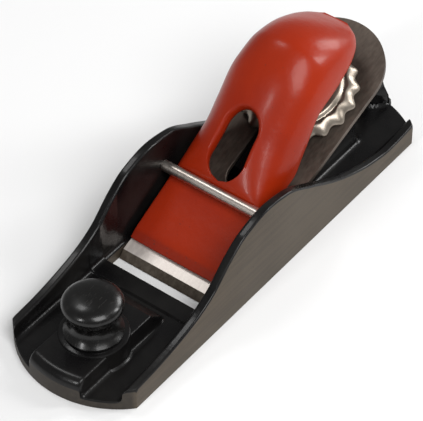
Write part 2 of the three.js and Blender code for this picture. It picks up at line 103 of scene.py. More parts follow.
def make_piece(name, sheets, finishes, crease=38, weld=0.004):
    """One mesh from sheets: (points [rows, columns, 3] in mm, finish number[, mask of cells]).

    Sheets share their border points, so welding closes them. A sheet of one row is a flat face.
    """
    points, faces, zones, start = [], [], [], 0
    for grid, zone, *mask in sheets:
        grid = np.asarray(grid, float)
        if grid.ndim == 2:
            faces.append(list(range(start, start + len(grid))))
            zones.append(zone)
            points.append(grid)
            start += len(grid)
            continue
        rows, columns = grid.shape[:2]
        corner = start + np.arange(rows * columns).reshape(rows, columns)
        quads = np.stack([corner[:-1, :-1], corner[1:, :-1], corner[1:, 1:], corner[:-1, 1:]], -1)
        quads = quads[mask[0]] if mask else quads.reshape(-1, 4)
        number = np.broadcast_to(zone, (rows - 1, columns - 1))
        number = number[mask[0]] if mask else number.reshape(-1)
        faces += quads.tolist()
        zones += number.tolist()
        points.append(grid.reshape(-1, 3))
        start += rows * columns
    mesh = bpy.data.meshes.new(name)
    mesh.from_pydata(np.concatenate(points) / 1000, [], faces)
    mesh.polygons.foreach_set("material_index", zones)
    shape = bmesh.new()
    shape.from_mesh(mesh)
    bmesh.ops.remove_doubles(shape, verts=shape.verts, dist=weld / 1000)
    bmesh.ops.dissolve_degenerate(shape, edges=shape.edges, dist=weld / 2000)
    loose = [v for v in shape.verts if not v.link_faces]
    bmesh.ops.delete(shape, geom=loose, context="VERTS")
    bmesh.ops.recalc_face_normals(shape, faces=shape.faces)
    shape.to_mesh(mesh)
    shape.free()
    mesh.shade_smooth()
    mesh.set_sharp_from_angle(angle=math.radians(crease))
    for finish in finishes:
        mesh.materials.append(finish)
    piece = bpy.data.objects.new(name, mesh)
    bpy.context.scene.collection.objects.link(piece)
    return piece


def wall_top(station):
    """Height of the side walls along the plane: low at the ends, humped beside the cutter."""
    return smooth_curve([
        (-TOE_BULGE, 7.6), (0, 9), (9, 9.8), (17, 11), (26, 13), (32.5, 15), (41, 19.4), (48.6, 26.3),
        (58, 32.3), (70, 34.9), (81, 33.4), (94, 26.8), (107.7, 18.8), (119, 13.6), (130.6, 9.8),
        (142, 7.9), (STRAIGHT, 9), (STRAIGHT + HEEL_BULGE, 9.8)], station)


def end_bulge(y, bulge):
    """How far an end arc stands past its corners at y."""
    radius = (HALF_WIDTH ** 2 + bulge ** 2) / (2 * bulge)
    return np.sqrt(radius ** 2 - y ** 2) - (radius - bulge)


def casting_top(station, y, from_toe, from_heel):
    """Upper surface of the casting: floor, fillets, toe block and walls, as heights over the plan."""
    side = np.abs(y)
    ramp = np.maximum((station - BED_FOOT) * math.tan(SLOPE), 0.12)
    bars = np.where(side > MOUTH_HALF - 0.02, TOE_FLOOR, 0)
    behind = np.minimum(HEEL_FLOOR, np.maximum(ramp, bars))
    ahead = TOE_FLOOR + (BAND_FLOOR - TOE_FLOOR) * smoothstep(BAND_START - 0.35, BAND_START + 0.35, station)
    floor = np.where(station < MOUTH_FRONT + 0.01, ahead, behind)
    floor = floor - rounding(np.minimum(from_toe, from_heel), 0.5)
    floor = floor - rounding(np.abs(station - MOUTH_FRONT) + 100 * (station > MOUTH_FRONT + 0.1), 0.35)
    foot, fillet = INNER_FACE - 0.12, 2.1
    height = floor + rounding(foot - side, fillet)
    # Block under the knob, with drafted sides and a sloping rear end.
    block_half = 10.55
    top = np.minimum.reduce([np.full_like(station, 10.0), 10 - (station - 27.2) * 0.8,
                             6.2 - (station - 32) * 1.4])
    top = np.minimum(top, 6.4 + 3.6 - rounding(from_toe, 3.6))
    top = np.where(side < block_half, top - rounding(block_half - side, 1.1), 0)
    skirt = np.clip((top.max() - floor) / 7, 0, 1) * rounding(side - block_half, 2.2)
    skirt = skirt * smoothstep(34, 30, station) * (side >= block_half) * smoothstep(0, 1.2, from_toe)
    height = np.maximum(height + skirt, top)
    # Fillets round the feet of the bed block and of the heel post.
    block_half, block_end, post_round = 12.4, 141.1, 9.6
    clear = np.hypot(np.maximum(side - block_half, 0), np.maximum(station - block_end, 0))
    bed_foot = rounding(clear, 2.4) * smoothstep(92, 97, station) * (side > 6.4)
    clear = np.maximum(np.hypot(station - STRAIGHT - HEEL_BULGE, side) - post_round, 0)
    post_foot = rounding(clear, 1.8) * smoothstep(0, 1.5, from_heel)
    height = np.maximum(height, floor + np.maximum(bed_foot, post_foot))
    wall = wall_top(station) - rounding(side - INNER_FACE + 0.1, 1.3) - rounding(HALF_WIDTH - side, 0.7)
    wall = wall - rounding(np.minimum(from_toe, from_heel), 0.8)
    return np.where(side > INNER_FACE - 0.05, wall, height)


def casting_sheets():
    """Top and sole as two grids over the plan, the ground faces round them and the mouth's edges.

    Grid lines follow the end arcs: a line's share f of the bulge lies at -f * bulge(y).
    """
    half = spread((0, 9), (9, 6), (10.5, 1), (10.6, 6), (12.4, 8), (15, 4), (20, 4), (21.1, 1), (MOUTH_HALF, 7),
                  (INNER_FACE - 0.13, 1), (INNER_FACE, 6), (INNER_FACE + 1.4, 3), (HALF_WIDTH - 0.8, 6),
                  (HALF_WIDTH, 0))
    y = np.concatenate([-half[:0:-1], half])
    toe = 1 - spread((0, 4), (0.06, 8), (0.35, 7), (1, 0))
    heel = spread((0, 7), (0.65, 6), (0.94, 4), (1, 0))[1:]
    along = spread((0, 26), (26, 20), (35, 6), (36, 8), (MOUTH_FRONT - 0.4, 4), (MOUTH_FRONT, 1),
                   (MOUTH_FRONT + 0.3, 1), (BED_FOOT, 16), (62, 8), (64, 90), (STRAIGHT, 0))
    station = np.concatenate([np.outer(-toe[:-1], end_bulge(y, TOE_BULGE)),
                              np.outer(along, np.ones_like(y)),
                              STRAIGHT + np.outer(heel, end_bulge(y, HEEL_BULGE))])
    side = np.broadcast_to(y, station.shape)
    from_toe = station + end_bulge(y, TOE_BULGE)
    from_heel = STRAIGHT + end_bulge(y, HEEL_BULGE) - station
    height = casting_top(station, side, from_toe, from_heel)
    top = np.stack([TOE_CORNER + station, side, height], -1)
    inset = 1 - EDGE_BREAK / HALF_WIDTH
    sole = np.stack([top[..., 0] * inset, side * inset, 0 * height], -1)
    middle_x, middle_y = (station[:-1, :-1] + station[1:, 1:]) / 2, np.abs(side[:-1, :-1] + side[1:, 1:]) / 2
    in_mouth = (middle_x > MOUTH_FRONT) & (middle_x < BED_FOOT) & (middle_y < MOUTH_HALF)
    on_bed = (middle_x > BED_FOOT) & (middle_x < 62) & (middle_y < MOUTH_HALF)
    rims = [(slice(0, 1), slice(None)), (slice(-1, None), slice(None)),
            (slice(None), slice(0, 1)), (slice(None), slice(-1, None))]
    sheets = [(top, np.where(on_bed, 1, 0), ~in_mouth), (sole, 1, ~in_mouth)]
    for rim in rims:
        upper, lower = top[rim].reshape(-1, 3), sole[rim].reshape(-1, 3)
        break_line = upper * [1, 1, 0] + [0, 0, EDGE_BREAK]
        sheets.append((np.stack([upper, break_line, lower]), 1))
    rows = np.flatnonzero((station[:, 0] > MOUTH_FRONT - 0.01) & (station[:, 0] < BED_FOOT + 0.01))
    columns = np.flatnonzero(np.abs(y) < MOUTH_HALF + 0.01)
    edges = [(rows[:1, None], columns), (rows[-1:, None], columns),
             (rows[:, None], columns[:1]), (rows[:, None], columns[-1:])]
    for edge in edges:
        sheets.append((np.stack([top[edge].reshape(-1, 3), sole[edge].reshape(-1, 3)]), 1))
    return sheets


def prism(outline, low, high, zone=0):
    """A side outline [station, height] carried across the plane from y = low to y = high."""
    near, far = (np.array([(TOE_CORNER + s, y, z) for s, z in outline]) for y in (low, high))
    loop = np.stack([near, far])
    return [(np.concatenate([loop, loop[:, :1]], 1), zone), (near, zone), (far[::-1], zone)]


def turned(profile, centre, axis="z", segments=96, zone=0):
    """A profile [radius, height] turned about a line along axis through centre."""
    turn = np.linspace(0, 2 * np.pi, segments + 1)
    radius, height = np.array(profile, float).T
    around = np.stack([np.outer(radius, np.cos(turn)), np.outer(radius, np.sin(turn)),
                       np.outer(height, np.ones_like(turn))], -1)
    order = {"x": [2, 0, 1], "y": [0, 2, 1], "z": [0, 1, 2]}[axis]
    return [(around[..., order] + centre, zone)]


def heel_post():
    """Tombstone outline seen from the front, round in plan: rings of y = w(z) cos t, front and rear."""
    z = np.concatenate([spread((3, 4), (13, 0))[:-1], 13 + 6 * np.sin(np.linspace(0, np.pi / 2, 14))])
    width = np.where(z < 13, smooth_curve([(3, 10.2), (5, 10), (8, 9.4), (10, 7.5), (12, 6.3), (13, 6)], z),
                     np.sqrt(np.maximum(36 - (z - 13) ** 2, 0)))
    y = np.outer(width, np.cos(np.linspace(0, np.pi, 41)))
    front = casting_high[0] - np.sqrt(np.maximum(9.6 ** 2 - np.minimum(np.abs(y), 9.6) ** 2, 0.04))
    rear = TOE_CORNER + STRAIGHT + end_bulge(y, HEEL_BULGE) - 0.01
    height = np.broadcast_to(z[:, None], y.shape)
    front, rear = (np.stack([x, y, height], -1) for x in (front, rear))
    ring = np.concatenate([front, rear[:, ::-1], front[:, :1]], 1)
    return [(ring, 0), (ring[0, :-1], 0)]


def bed_block():
    """The block under the cutter's tail, with a pocket for the nut and a slot for the lever."""
    def on_bed(s):
        return (s - BED_FOOT) * math.tan(SLOPE)
    front, split, back, roof = 95, 124.1, 138, 20
    half, pocket, slot = 12.4, 6.3, 2.7
    slot_front, slot_back = BLADE_STATION + 81.5 * math.cos(SLOPE), BLADE_STATION + 90.5 * math.cos(SLOPE)
    sheets = prism([(front, 3), (split, 3), (split, on_bed(split)), (front, on_bed(front))], -half, half)
    for low, high in [(-half, -pocket), (pocket, half)]:
        sheets += prism([(split, 3), (back + 3.1, 3), (back, on_bed(back)), (split, on_bed(split))], low, high)
    for low, high in [(-pocket, -slot), (slot, pocket)]:
        sheets += prism([(split, roof), (back + 1.4, roof), (back, on_bed(back)), (split, on_bed(split))],
                        low, high)
    lean = math.tan(SLOPE) * 6
    sheets += prism([(slot_back + lean, roof), (back + 1.4, roof), (back, on_bed(back)),
                     (slot_back, on_bed(slot_back))], -slot, slot)
    sheets += prism([(split, roof), (slot_front + lean, roof), (slot_front, on_bed(slot_front)),
                     (split, on_bed(split))], -slot, slot)
    return sheets


class Wire:
    """A shader value. Arithmetic on it adds the Math nodes; node() adds any other node."""

    def __init__(self, tree, socket=None):
        self.tree, self.socket = tree, socket

    def node(self, kind, settings=(), sockets=(), out=0):
        """Add a node: its settings first, then a value or a wire for each named socket."""
        made = self.tree.nodes.new("ShaderNode" + kind)
        for name, value in dict(settings).items():
            if name == "stops":
                ramp = made.color_ramp.elements
                while len(ramp) < len(value):
                    ramp.new(0.5)
                for stop, (place, colour) in zip(ramp, value):
                    stop.position, stop.color = place, (*colour, 1)
            else:
                setattr(made, name, value)
        for name, value in dict(sockets).items():
            if isinstance(value, Wire):
                self.tree.links.new(value.socket, made.inputs[name])
            else:
                made.inputs[name].default_value = value
        return Wire(self.tree, made.outputs[out])

    def maths(self, operation, *values):
        return self.node("Math", {"operation": operation}, dict(enumerate(values)))

    def __add__(self, other):
        return self.maths("ADD", self, other)

    def __sub__(self, other):
        return self.maths("SUBTRACT", self, other)

    def __rsub__(self, other):
        return self.maths("SUBTRACT", other, self)

    def __mul__(self, other):
        return self.maths("MULTIPLY", self, other)

    __radd__ = __add__
    __rmul__ = __mul__

    def eased(self, low, high):
        """0 below low, 1 above high, eased between."""
        return self.node("MapRange", {"interpolation_type": "SMOOTHSTEP"},
                         {"Value": self, "From Min": low, "From Max": high})

    def noise(self, scale, detail=4, stretch=(1, 1, 1)):
        """Cloudy noise on this wire's coordinates, scaled per axis."""
        placed = self.node("Mapping", (), {"Vector": self, "Scale": stretch})
        return placed.node("TexNoise", (), {"Vector": placed, "Scale": scale, "Detail": detail})

    def part(self, name):
        """One coordinate of a vector."""
        return self.node("SeparateXYZ", (), {"Vector": self}, out="XYZ".index(name))

    def between(self, first, second):
        """A colour between two, by this wire as the share of the second."""
        sockets = {0: self, 6: (*first, 1) if isinstance(first, tuple) else first,
                   7: (*second, 1) if isinstance(second, tuple) else second}
        return self.node("Mix", {"data_type": "RGBA"}, sockets, out=2)

    def bump(self, distance, strength=1.0):
        return self.node("Bump", (), {"Height": self, "Distance": distance, "Strength": strength})


def finish(name, recipe, **fixed):
    """A material: recipe(object coordinates) gives the varying sockets, fixed the constant ones."""
    material = bpy.data.materials.new(name)
    material.use_nodes = True
    tree = material.node_tree
    shader = tree.nodes["Principled BSDF"]
    place = Wire(tree).node("TexCoord", out=3)
    for socket, value in fixed.items():
        shader.inputs[socket.replace("_", " ")].default_value = value
    for socket, wire in recipe(place).items():
        tree.links.new(wire.socket, shader.inputs[socket])
    return material


def japanned(place):
    """Baked black enamel: deep and glossy over the faint roughness of the cast skin, with dust."""
    skin, cloud, dust = place.noise(900, 3), place.noise(60, 4), place.noise(2600, 2)
    return {
        "Base Color": cloud.eased(0.35, 0.75).between((0.003, 0.0028, 0.003), (0.009, 0.0085, 0.008)),
        "Roughness": 0.2 + 0.16 * cloud + 0.12 * dust.eased(0.6, 0.75),
        "Normal": (skin + 0.8 * place.noise(300, 2)).bump(0.00009, 0.55),
    }


def ground_iron(place):
    """Iron ground along the plane: satin brown-grey with fine scratches and specks, with painted shade
    darkening the toe end.
    """
    streak = place.noise(700, 3, (0.05, 1, 1))
    cloud, speck = place.noise(45, 5), place.noise(1500, 2)
    worn = (streak + 0.6 * cloud).eased(0.5, 1.1)
    # Painted shade: the toe end's ground face is darkened in its colour to stand in for the lower light there.
    toe_painted_shade = 1 - (1000 * place.part("X")).eased(TOE_CORNER - 1.5, TOE_CORNER + 0.2)
    bright = worn.between((0.066, 0.052, 0.038), (0.1, 0.08, 0.059))
    grey = toe_painted_shade.between(bright, worn.between((0.03, 0.025, 0.02), (0.052, 0.043, 0.034)))
    return {
        "Base Color": speck.eased(0.66, 0.74).between(grey, (0.035, 0.03, 0.025)),
        "Roughness": 0.42 + 0.2 * streak,
        "Normal": streak.bump(0.00002, 0.35),
    }


japanning = finish("japanning", japanned, Coat_Roughness=0.1, Coat_Weight=0.1, Specular_IOR_Level=0.2)
ground_face = finish("ground_iron", ground_iron, Metallic=0.55)
knob_boss = turned([(0, 10.6), (11.2, 10.6), (11.7, 10.35), (11.95, 9.8), (12, 5.2), (12.4, 4.1), (13.4, 3.55),
                    (13.7, 3), (0, 3)], (TOE_CORNER + 10.6, 0, 0))
casting = make_piece("casting", casting_sheets() + knob_boss + heel_post() + bed_block(),
                     [japanning, ground_face])
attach(casting, "body")
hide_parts("body_casting")

# ---- Cross pin ----
# A bright steel rod pressed across both walls, turned in a lathe and nickel plated. The lever cap
# hooks under it.

pin_low, pin_high = (1000 * np.array(corner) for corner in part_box("cross_pin"))
pin_centre = (pin_low + pin_high) / 2
PIN_RADIUS = (pin_high[2] - pin_low[2]) / 2
pin_half = (pin_high[1] - pin_low[1]) / 2


def plated(place, clean, dull):
    """Nickel between a clean and a dull colour, with turning lines and a breath of brown."""
    rings = place.noise(500, 2, (0.2, 6, 0.2))
    cloud = place.noise(120, 4)
    return {
        "Base Color": cloud.eased(0.3, 0.8).between(clean, dull),
        "Roughness": 0.26 + 0.16 * rings,
        "Normal": rings.bump(0.00003, 0.4),
    }


nickel = finish("nickel_plate", lambda place: plated(place, (0.66, 0.6, 0.55), (0.46, 0.4, 0.35)),
                Metallic=1.0)
end = 0.4
pin = make_piece("cross_pin_rod", turned(
    [(0, -pin_half), (PIN_RADIUS - end, -pin_half), (PIN_RADIUS, end - pin_half),
     (PIN_RADIUS, pin_half - end), (PIN_RADIUS - end, pin_half), (0, pin_half)], pin_centre, "y", 64), [nickel])
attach(pin, "body")
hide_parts("cross_pin")

# ---- Front knob ----
# A moulded black knob with a waist and a domed top. It screws down on a stud in the casting with a
# brass insert, so nothing shows on its top.

knob_low, knob_high = (1000 * np.array(corner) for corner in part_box("front_knob"))
knob_axis = ((knob_low + knob_high) / 2) * [1, 1, 0]
KNOB_RADIUS = (knob_high[0] - knob_low[0]) / 2


def knob_profile():
    """Radius by height: a foot, a waist, a rounded ring and a shallow dome."""
    rise = spread((1.0, 16), (12.3, 0))
    flank = smooth_curve([(1.0, KNOB_RADIUS - 0.25), (3, KNOB_RADIUS - 2), (5.6, KNOB_RADIUS - 2.85),
                          (8.2, KNOB_RADIUS - 2), (10.1, KNOB_RADIUS - 0.75), (12.3, KNOB_RADIUS)], rise)
    turn = np.linspace(0, np.pi / 2, 24)[1:]
    dome = np.stack([KNOB_RADIUS * np.cos(turn) ** 0.8, 12.3 + 4.25 * np.sin(turn) ** 0.9], 1)
    dome[-1, 0] = 0
    foot = [(4.5, 9.6), (4.5, 0), (KNOB_RADIUS - 0.9, 0), (KNOB_RADIUS - 0.35, 0.25)]
    profile = np.concatenate([[(0, 9.6)], foot, np.stack([flank, rise], 1), dome])
    return profile + [0, knob_low[2]]


def moulded_black(place):
    """Hard glossy moulding with soft wear and hairline scuffs."""
    cloud, scuff = place.noise(90, 4), place.noise(420, 3, (1, 4, 1))
    return {
        "Base Color": scuff.eased(0.6, 0.72).between((0.004, 0.0038, 0.0036), (0.014, 0.013, 0.012)),
        "Roughness": 0.24 + 0.2 * cloud.eased(0.45, 0.75) + 0.1 * scuff.eased(0.6, 0.7),
        "Normal": cloud.bump(0.00012, 0.3),
    }


knob = make_piece("front_knob_moulding", turned(knob_profile(), knob_axis), [
    finish("knob_moulding", moulded_black, Coat_Weight=0.15, Coat_Roughness=0.12,
    Specular_IOR_Level=0.3)])
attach(knob, "body")
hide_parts("front_knob")

# ---- Cutter ----
# A flat tool-steel blade, bevel up, with a round tail and a clearance slot. The adjusting grooves of
# the underside are not modelled. It is ground and polished near the edge, with a painted highlight on the
# polished band and a painted dark reflection on the bevel, and dull brown behind.

BED_X = TOE_CORNER + BLADE_STATION
CUT_HALF, CUT_THICK, CUT_TIP, CUT_END = 20.65, 1.8, 0.6, 117.5
CUT_BEVEL = CUT_THICK / math.tan(math.radians(30))


def on_slope(along, across, above):
    """Points of the bed's frame, up the slope and square to it, as points of the plane."""
    along, across, above = np.broadcast_arrays(along, across, above)
    return np.stack([BED_X + along * math.cos(SLOPE) - above * math.sin(SLOPE), across,
                     along * math.sin(SLOPE) + above * math.cos(SLOPE)], -1)


def stadium(centre, straight, radius, direction, swell=0.0):
    """Where a ray from the centre crosses a round-ended slot: its flat side, or its end circle."""
    radius = radius + swell
    c, s = np.cos(direction), np.sin(direction)
    flat = np.abs(radius * c) <= straight * np.abs(s)
    steep = np.where(np.abs(s) > 1e-9, s, 1)
    reach_flat = radius / np.abs(steep)
    reach_end = straight * np.abs(c) + np.sqrt(np.maximum(radius ** 2 - (straight * s) ** 2, 0))
    reach = np.where(flat, reach_flat, reach_end)
    return centre[0] + reach * c, centre[1] + reach * s


def ring_frame(start, end, columns, rows):
    """The border of a patch, counter-clockwise from its first corner, as shares along and across."""
    across, along = np.linspace(0, 1, columns + 1), np.linspace(0, 1, rows + 1)
    u = np.concatenate([0 * across, along[1:], 0 * across[1:] + 1, along[-2::-1]])
    v = np.concatenate([across, 0 * along[1:] + 1, across[-2::-1], 0 * along[1:]])
    return start + (end - start) * u, v


def cutter_sheets():
    """Two flat faces with a slot between a front patch, a ring patch and a tail patch."""
    slot_centre, straight, slot_radius, break_edge = (59, 0), 11.5, 6.8, 0.25
    tail = CUT_END - CUT_HALF

    def half(along):
        return np.sqrt(np.maximum(CUT_HALF ** 2 - np.maximum(along - tail, 0) ** 2, 0))

    def face(along, share, above):
        return on_slope(along, half(along) * np.asarray(share), above)

    share = np.linspace(-1, 1, 25)
    front = np.array([CUT_TIP, 1.4, 2.4, CUT_TIP + CUT_BEVEL, 5, 8.3, 16, 24, 32, 40])
    bevel = np.minimum((front - CUT_TIP) / CUT_BEVEL, 1) * (CUT_THICK - 0.06) + 0.06
    rear = tail + CUT_HALF * np.sin(np.linspace(0, np.pi / 2, 28))
    rear = np.concatenate([spread((80, 8), (tail, 0))[:-1], rear])
    border, across = ring_frame(40, 80, 24, 20)
    edge_y = CUT_HALF * (2 * across - 1)
    ray = np.arctan2(edge_y - slot_centre[1], border - slot_centre[0])
    blend = np.linspace(0, 1, 7)[:, None]
    sheets = []
    for above, swell in [(CUT_THICK, break_edge), (0.0, 0.0)]:
        lip_x, lip_y = stadium(slot_centre, straight, slot_radius, ray, swell)
        x, y = lip_x + (border - lip_x) * blend, lip_y + (edge_y - lip_y) * blend
        front_height = bevel if above else 0 * bevel
        sheets += [(face(front[:, None], share, front_height[:, None]), 0),
                   (on_slope(x, y, above), 0), (face(rear[:, None], share, above), 0)]
    upper_x, upper_y = stadium(slot_centre, straight, slot_radius, ray, break_edge)
    lower_x, lower_y = stadium(slot_centre, straight, slot_radius, ray)
    sheets.append((np.stack([on_slope(upper_x, upper_y, CUT_THICK),
                             on_slope(lower_x, lower_y, CUT_THICK - break_edge),
                             on_slope(lower_x, lower_y, 0)]), 0))
    side_along = np.concatenate([front, spread((40, 20), (80, 0))[1:], rear[1:]])
    side_above = np.concatenate([bevel, np.full(len(side_along) - len(front), CUT_THICK)])
    for side in (-1, 1):
        sheets.append((np.stack([face(side_along, side, side_above), face(side_along, side, 0)]), 0))
    sheets.append((np.stack([face(CUT_TIP, share, bevel[0]), face(CUT_TIP, share, 0)]), 0))
    return sheets


def bed_along(place):
    """Distance up the bed from the cutting edge, in millimetres."""
    return 1000 * (math.cos(SLOPE) * (place.part("X") - BED_X / 1000) + math.sin(SLOPE) * place.part("Z"))


def blade_steel(place):
    """Dull brown rolled steel; a polished band behind the edge carrying a painted highlight, and the ground
    bevel painted dark as a reflection.
    """
    along = bed_along(place)
    # Painted highlight: the polished band gets a bright colour so it shines under any light; its mask also sets
    # the real polish's roughness and metal.
    polish_and_painted_highlight = 1 - along.eased(8.6, 10.5)
    bevel = 1 - along.eased(CUT_TIP + CUT_BEVEL - 0.15, CUT_TIP + CUT_BEVEL + 0.1)
    cross = place.noise(900, 3, (0.06, 1, 1))
    cloud = place.noise(38, 5)
    body = (0.55 * cross + cloud).eased(0.45, 1.15).between((0.06, 0.045, 0.036), (0.16, 0.128, 0.105))
    bright = cross.eased(0.3, 0.8).between((0.6, 0.54, 0.5), (0.74, 0.68, 0.63))
    # Painted reflection: the bevel's dark colour stands in for the dark surroundings it reflects.
    bevel_painted_dark = cross.eased(0.3, 0.8).between((0.065, 0.05, 0.037), (0.11, 0.09, 0.07))
    return {
        "Base Color": bevel.between(polish_and_painted_highlight.between(body, bright), bevel_painted_dark),
        "Roughness": 0.44 - 0.14 * polish_and_painted_highlight + 0.12 * cross,
        "Metallic": 0.75 - 0.25 * polish_and_painted_highlight,
        "Normal": cross.bump(0.00003, 0.4),
    }


blade = make_piece("cutter_blade", cutter_sheets(), [finish("blade_steel", blade_steel)], crease=25)
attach(blade, "cutter")
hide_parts("cutter")

# ---- Lever cap ----
# A pressed and cast shell, enamelled red: a flat front panel that bears on the cutter, a hook under
# the cross pin, then a tall crown with an oval hole, hollow below for the clamp.

CAP_FRONT, CAP_END, CAP_SHIFT = 8.3, 109.5, 2.0
CAP_SHELL, CAP_LIP = 2.6, 1.1
PIN_ALONG, PIN_ABOVE = 33.9, 11.06
CLAMP_ALONG = 83.7
OVAL_CENTRE, OVAL_STRAIGHT, OVAL_RADIUS = (49.5, CAP_SHIFT), 4.8, 7.0


def cap_width(along):
    return smooth_curve([(8.3, 18.4), (34, 18.5), (60, 18.3), (82, 17.7), (93, 16.5), (101, 14.1), (106, 10.6),
                         (CAP_END, 4.8)], along)


def cap_edge(along):
    return smooth_curve([(8.3, 3.2), (44, 4.2), (53, 4.2), (62.7, 9.7), (75.5, 16.9), (92, 16.3),
                         (CAP_END, 14.4)], along)


def cap_crown(along):
    """Height of the ridge; where the cross pin lies, the hook's round seat is cut out of it."""
    ridge = smooth_curve([(8.3, 3.55), (11.4, 5.0), (12.4, 5.25), (20, 6.35), (33.9, 8.76), (38, 13.3),
                          (44, 17.5), (60, 25.5), (76, 33), (83.7, 34.5), (88, 33.3), (92, 31.3),
                          (96, 28.5), (100, 24.9), (104, 20.7), (107, 17.3), (CAP_END, 14.2)], along)
    seat = PIN_RADIUS + 0.12
    groove = PIN_ABOVE - np.sqrt(np.maximum(seat ** 2 - (along - PIN_ALONG) ** 2, 0))
    return np.where(np.abs(along - PIN_ALONG) < seat, np.minimum(ridge, groove), ridge)


def cap_roundness(along):
    return smooth_curve([(8.3, 9), (32, 8), (38, 3.2), (44, 2.6), (60, 2.3), (84, 2.15), (CAP_END, 2.0)], along)


def cap_point(along, turn, depth):
    """The shell: a superellipse arch at each station; depth is 0 on its outside and 1 on its inside.

    across = half width * |cos turn|^(2/n), above = edge + (crown - edge) * (sin turn)^(2/n).
    """
    along, turn = np.broadcast_arrays(along, turn)
    power = 2 / cap_roundness(along)
    thick = CAP_LIP + (CAP_SHELL - CAP_LIP) * np.clip((along - CAP_FRONT) / 10, 0, 1)
    standing = smoothstep(PIN_ALONG, PIN_ALONG + 21, along)
    shut = smoothstep(CLAMP_ALONG + 4, CAP_END, along)
    edge, crown = cap_edge(along), np.maximum(cap_crown(along), cap_edge(along) + 0.1)
    half = cap_width(along) - depth * thick * np.maximum(standing, 0.05)
    low = np.maximum(edge - thick * (1 - standing), CUT_THICK + 0.3)
    high = np.maximum(crown - thick - 0.08 * (crown - edge) * standing, low + 0.02)
    low, high = edge + (low - edge) * depth, crown + (high - crown) * depth
    cosine, sine = np.cos(turn), np.maximum(np.sin(turn), 0)
    across = CAP_SHIFT + half * np.sign(cosine) * np.where(np.abs(cosine) > 1e-9, np.abs(cosine), 0) ** power
    above = low + (high - low) * np.where(sine > 1e-9, sine, 0) ** power
    return along - CAP_SHELL * shut * depth, across, above


def turn_at(along, across):
    """The arch's turn at which it stands over a given place across."""
    share = np.clip((across - CAP_SHIFT) / cap_width(along), -1, 1)
    return np.arccos(np.sign(share) * np.abs(share) ** (cap_roundness(along) / 2))


def lip(outer, inner, outward, rows=7):
    """A rounded rim from the outside to the inside of the shell: half a turn about their middle."""
    outer, inner = np.stack(outer, -1), np.stack(inner, -1)
    swing = np.linspace(0, np.pi, rows)[:, None, None]
    reach = np.linalg.norm(outer - inner, axis=-1, keepdims=True) / 2
    points = (outer + inner) / 2 + (outer - inner) / 2 * np.cos(swing) + outward * reach * np.sin(swing)
    return on_slope(points[..., 0], points[..., 1], points[..., 2])


def cap_sheets():
    """Outside and inside as front, ring and rear patches, joined by rounded rims."""
    columns, rows = 88, 52
    ring_start, ring_end = 36.2, 64.0
    turn = np.pi * (1 - np.linspace(0, 1, columns + 1))
    front = spread((CAP_FRONT, 6), (11, 14), (31, 14), (ring_start, 0))
    rear = CAP_END - (CAP_END - ring_end) * np.linspace(1, 0, 56) ** 1.3
    border, share = ring_frame(ring_start, ring_end, columns, rows)
    border_turn = np.pi * (1 - share)
    border_y = cap_point(border, border_turn, 0)[1]
    ray = np.arctan2(border_y - OVAL_CENTRE[1], border - OVAL_CENTRE[0])
    hole_x, hole_y = stadium(OVAL_CENTRE, OVAL_STRAIGHT, OVAL_RADIUS, ray, 0.55)
    hole_turn = turn_at(hole_x, hole_y)
    blend = (np.linspace(0, 1, 15) ** 1.25)[:, None]
    ring_x, ring_turn = hole_x + (border - hole_x) * blend, hole_turn + (border_turn - hole_turn) * blend
    sheets = []
    for depth in (0, 1):
        for along, angle in [(front[:, None], turn), (ring_x, ring_turn), (rear[:, None], turn)]:
            sheets.append((on_slope(*cap_point(along, angle, depth)), 0))
    inward = np.stack([OVAL_CENTRE[0] - hole_x, OVAL_CENTRE[1] - hole_y, 0 * hole_x], -1)
    inward = inward / np.linalg.norm(inward, axis=-1, keepdims=True) * 0.45
    sheets.append((lip(cap_point(hole_x, hole_turn, 0), cap_point(hole_x, hole_turn, 1), inward), 0))
    edges = np.concatenate([front[:-1], border[columns:columns + rows], rear])
    for angle in (0.0, np.pi):
        bulge = -0.35 * np.minimum(smoothstep(50, 60, edges), 1)[:, None] * [0, 0, 1]
        sheets.append((lip(cap_point(edges, angle, 0), cap_point(edges, angle, 1), bulge), 0))
    for along, ahead in [(CAP_FRONT, -0.6), (CAP_END, 0.15)]:
        outward = np.broadcast_to([ahead, 0, 0], (columns + 1, 3)) * np.sin(turn)[:, None]
        sheets.append((lip(cap_point(along, turn, 0), cap_point(along, turn, 1), outward), 0))
    return sheets


def on_clamp(radius, turn, above):
    """Points round the clamp's axis, which stands square to the bed."""
    return on_slope(CLAMP_ALONG + radius * np.cos(turn), CAP_SHIFT + radius * np.sin(turn), above)


def pillar_sheet():
    """The round pillar under the crown that holds the bush: a closed ring section, turned once."""
    turn = np.linspace(0, 2 * np.pi, 97)
    ring = np.array([(4.9, 16.5), (6.2, 16.5), (6.5, 16.8), (6.5, 30.6), (4.9, 30.6), (4.9, 16.5)])
    return (on_clamp(ring[:, :1], turn, ring[:, 1:] + 0 * turn), 0)


def enamel(place):
    """Glossy red enamel with a slight orange peel and specks, with painted shade darkening it along the front
    lip.
    """
    peel, cloud, speck = place.noise(420, 3), place.noise(30, 4), place.noise(1400, 2)
    # Painted shade: where the front panel slopes down to its edge the red is darkened and its dark specks
    # thickened.
    front = 1 - (bed_along(place) + 1.2 * place.noise(260, 3)).eased(CAP_FRONT + 2.6, CAP_FRONT + 4.2)
    paint = cloud.eased(0.3, 0.75).between((0.31, 0.02, 0.0025), (0.235, 0.012, 0.0018))
    paint = (0.3 * front).between(paint, (0.12, 0.009, 0.004))
    return {
        "Base Color": (speck + 0.06 * front).eased(0.71, 0.78).between(paint, (0.1, 0.02, 0.012)),
        "Roughness": 0.26 + 0.16 * cloud + 0.1 * speck.eased(0.6, 0.75),
        "Normal": (peel + 0.6 * place.noise(140, 2)).bump(0.00022, 0.4),
    }


